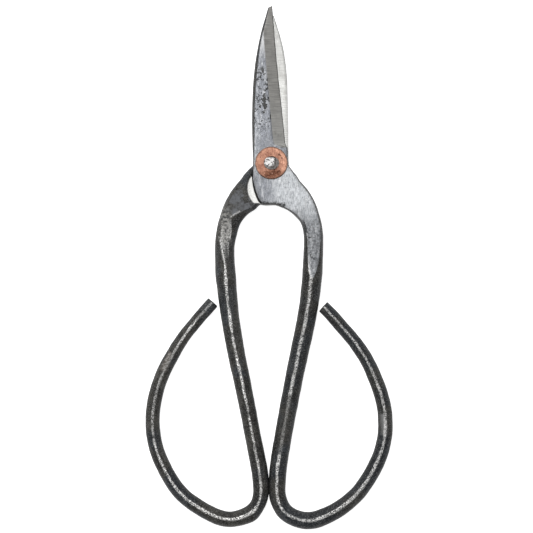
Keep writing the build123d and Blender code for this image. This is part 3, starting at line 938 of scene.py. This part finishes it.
def washer(name, material, seed):
    """A copper washer, lathed with worn rims, then made a little out of round and uneven outside the head."""
    inner, outer, thickness, segments = 2.02, 5.52, 0.8, 96
    rim, bore_edge, flat_radius = 0.22, 0.1, 2.9
    wave, wave_size = 0.035, 2.2  # up and down
    wobble, wobble_size = 0.05, 1.5  # in and out
    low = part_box(name)[0].z / MM
    worn_rim = lambda t: (outer - rim + rim * math.sin(t), rim * (1 - math.cos(t)))
    profile = [(inner, 0.0), (inner + bore_edge, 0.0)]
    profile += [(r, 0.0) for r in np.linspace(2.6, outer - 0.3, 7)]
    profile += [worn_rim(t) for t in np.linspace(0, math.pi / 2, 5)]
    profile += [(r, thickness - z) for r, z in reversed(profile)]
    bm = bmesh.new()
    rings = []
    for k in range(segments):
        turn = 2 * math.pi * k / segments
        outward = Vector((math.cos(turn), math.sin(turn), 0))
        loop = []
        for r, z in profile:
            p = outward * r + Vector((0, 0, z))
            uneven = wave * noise.noise(p / wave_size + Vector((seed, 0, 0)))
            p += outward * wobble * noise.noise(p / wobble_size + Vector((0, seed, 0)))
            if r > flat_radius:
                p.z += uneven * (1 if z > thickness / 2 else 0.2)
            loop.append(bm.verts.new((p + Vector((0, 0, low))) * MM))
        rings.append(loop)
    for a, b in zip(rings, rings[1:] + rings[:1]):
        for j in range(len(profile)):
            k = (j + 1) % len(profile)
            bm.faces.new((a[j], b[j], b[k], a[k]))
    finish_piece(outward_mesh(bm, name + "_mesh"), name, "rear", [material], 40)


# A hammered head is cut by flat blows, each (azimuth, tilt from the level, where it starts from the axis)
HEAD_BLOWS = [(130, 4, 0), (2, 22, 1.0), (-70, 20, 1.05), (-128, 13, 1.5), (-33, 12, 1.3), (62, 36, 1.75),
              (100, 40, 1.7), (168, 38, 2.15), (-160, 40, 2.2), (-105, 42, 1.95), (32, 42, 2.1)]
HEAD_X, HEAD_Y = 2.62, 2.28  # its two half widths
HEAD_TOP, HEAD_LIMIT, HEAD_RIM = 1.16, 1.19, 0.25  # heights of its middle, its highest place and its rim
RIVET_RADIUS, PIVOT_CLEARANCE = 2.0, 0.04
# Places from near the rim of a head to its middle, as shares of its half widths
HEAD_SPREAD = [0.985, 0.95, 0.9, 0.84, 0.77, 0.7, 0.62, 0.54, 0.46, 0.38, 0.3, 0.22, 0.14, 0.07]


def head_height(x, y):
    """Height of a head above its washer."""
    height = HEAD_LIMIT
    for azimuth, tilt, start in HEAD_BLOWS:
        a = math.radians(azimuth)
        out = x * math.cos(a) + y * math.sin(a)
        height = min(height, HEAD_TOP - (out - start) * math.tan(math.radians(tilt)))
    return max(height, HEAD_RIM)


def rivet(material):
    """The rivet: a round shank and two hammered heads."""
    segments = 72
    low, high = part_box("rear_washer")[0].z / MM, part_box("front_washer")[1].z / MM
    loops = []
    for k in range(segments):
        turn = 2 * math.pi * k / segments
        c, s = math.cos(turn), math.sin(turn)
        heads = []
        for sign, base in ((-1, low), (1, high)):
            x, y = HEAD_X * c, HEAD_Y * s
            head = [(0.93 * x, 0.93 * y, base), (x, y, base + sign * 0.1), (x, y, base + sign * HEAD_RIM)]
            for f in HEAD_SPREAD:
                head.append((f * x, f * y, base + sign * head_height(f * x, sign * f * y)))
            heads.append(head)
        down, up = heads
        shank = [(RIVET_RADIUS * c, RIVET_RADIUS * s, z) for z in (low, high)]
        loops.append(list(reversed(down)) + shank + up)
    bm = bmesh.new()
    columns = [[bm.verts.new(Vector(p) * MM) for p in column] for column in loops]
    bottom = bm.verts.new(Vector((0, 0, low - head_height(0, 0))) * MM)
    top = bm.verts.new(Vector((0, 0, high + head_height(0, 0))) * MM)
    for a, b in zip(columns, columns[1:] + columns[:1]):
        for j in range(len(a) - 1):
            bm.faces.new((a[j], b[j], b[j + 1], a[j + 1]))
        bm.faces.new((bottom, b[0], a[0]))
        bm.faces.new((a[-1], b[-1], top))
    finish_piece(outward_mesh(bm, "rivet_mesh"), "rivet", "rear", [material], 14)


# --- Studio ---
MIDDLE_OF_SNIPS = Vector((0, -0.035, 0))
FLOOR_GAP = 0.0001


def area_light(name, direction, distance, radius, power):
    """A round soft light aimed at the middle of the snips from a direction."""
    lamp = bpy.data.lights.new(name, "AREA")
    lamp.shape, lamp.size, lamp.energy = "DISK", 2 * radius, power
    light = bpy.data.objects.new(name, lamp)
    away = Vector(direction).normalized()
    light.location = MIDDLE_OF_SNIPS + away * distance
    light.rotation_euler = away.to_track_quat("Z", "Y").to_euler()
    bpy.context.scene.collection.objects.link(light)


def studio():
    """A camera straight above, a plain white floor, two soft lights and an even sky."""
    camera = bpy.data.objects.new("camera", bpy.data.cameras.new("camera"))
    bpy.context.scene.collection.objects.link(camera)
    camera.data.lens = 120
    camera.location = (-0.00167, -0.03516, 0.612)
    bpy.context.scene.camera = camera

    mesh = bpy.data.meshes.new("floor")
    half = 2.0
    corners = [(-half, -half, 0), (half, -half, 0), (half, half, 0), (-half, half, 0)]
    mesh.from_pydata(corners, [], [(0, 1, 2, 3)])
    floor = bpy.data.objects.new("floor", mesh)
    bpy.context.scene.collection.objects.link(floor)
    floor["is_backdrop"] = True
    m = Nodes("floor_white")
    m.set(Base_Color=(0.9, 0.9, 0.9), Roughness=0.9, Specular_IOR_Level=0.1)
    m.set(Emission_Color=(1, 1, 1), Emission_Strength=0.8)
    mesh.materials.append(m.material)
    floor.location.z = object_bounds()[0].z - FLOOR_GAP

    area_light("key", (-0.12, 0.19, 1), 0.9, 0.16, 3.0)
    area_light("fill", (-0.4, 0.8, 0.62), 1.2, 0.45, 4.5)
    world = bpy.data.worlds.new("studio")
    world.use_nodes = True
    sky = world.node_tree.nodes["Background"].inputs
    sky["Color"].default_value = (1, 1, 1, 1)
    sky["Strength"].default_value = 0.35
    bpy.context.scene.world = world
    bpy.context.scene.view_settings.view_transform = "Standard"


forged = [scale_material(), flat_material(), bevel_material(), inner_material()]
copper, steel = copper_material(), rivet_material()
forging("front_half", FRONT, "front", forged, RIVET_RADIUS + PIVOT_CLEARANCE, seed=4)
forging("rear_half", REAR, "rear", forged, RIVET_RADIUS, seed=11)
washer("front_washer", copper, seed=3)
washer("rear_washer", copper, seed=8)
rivet(steel)
studio()
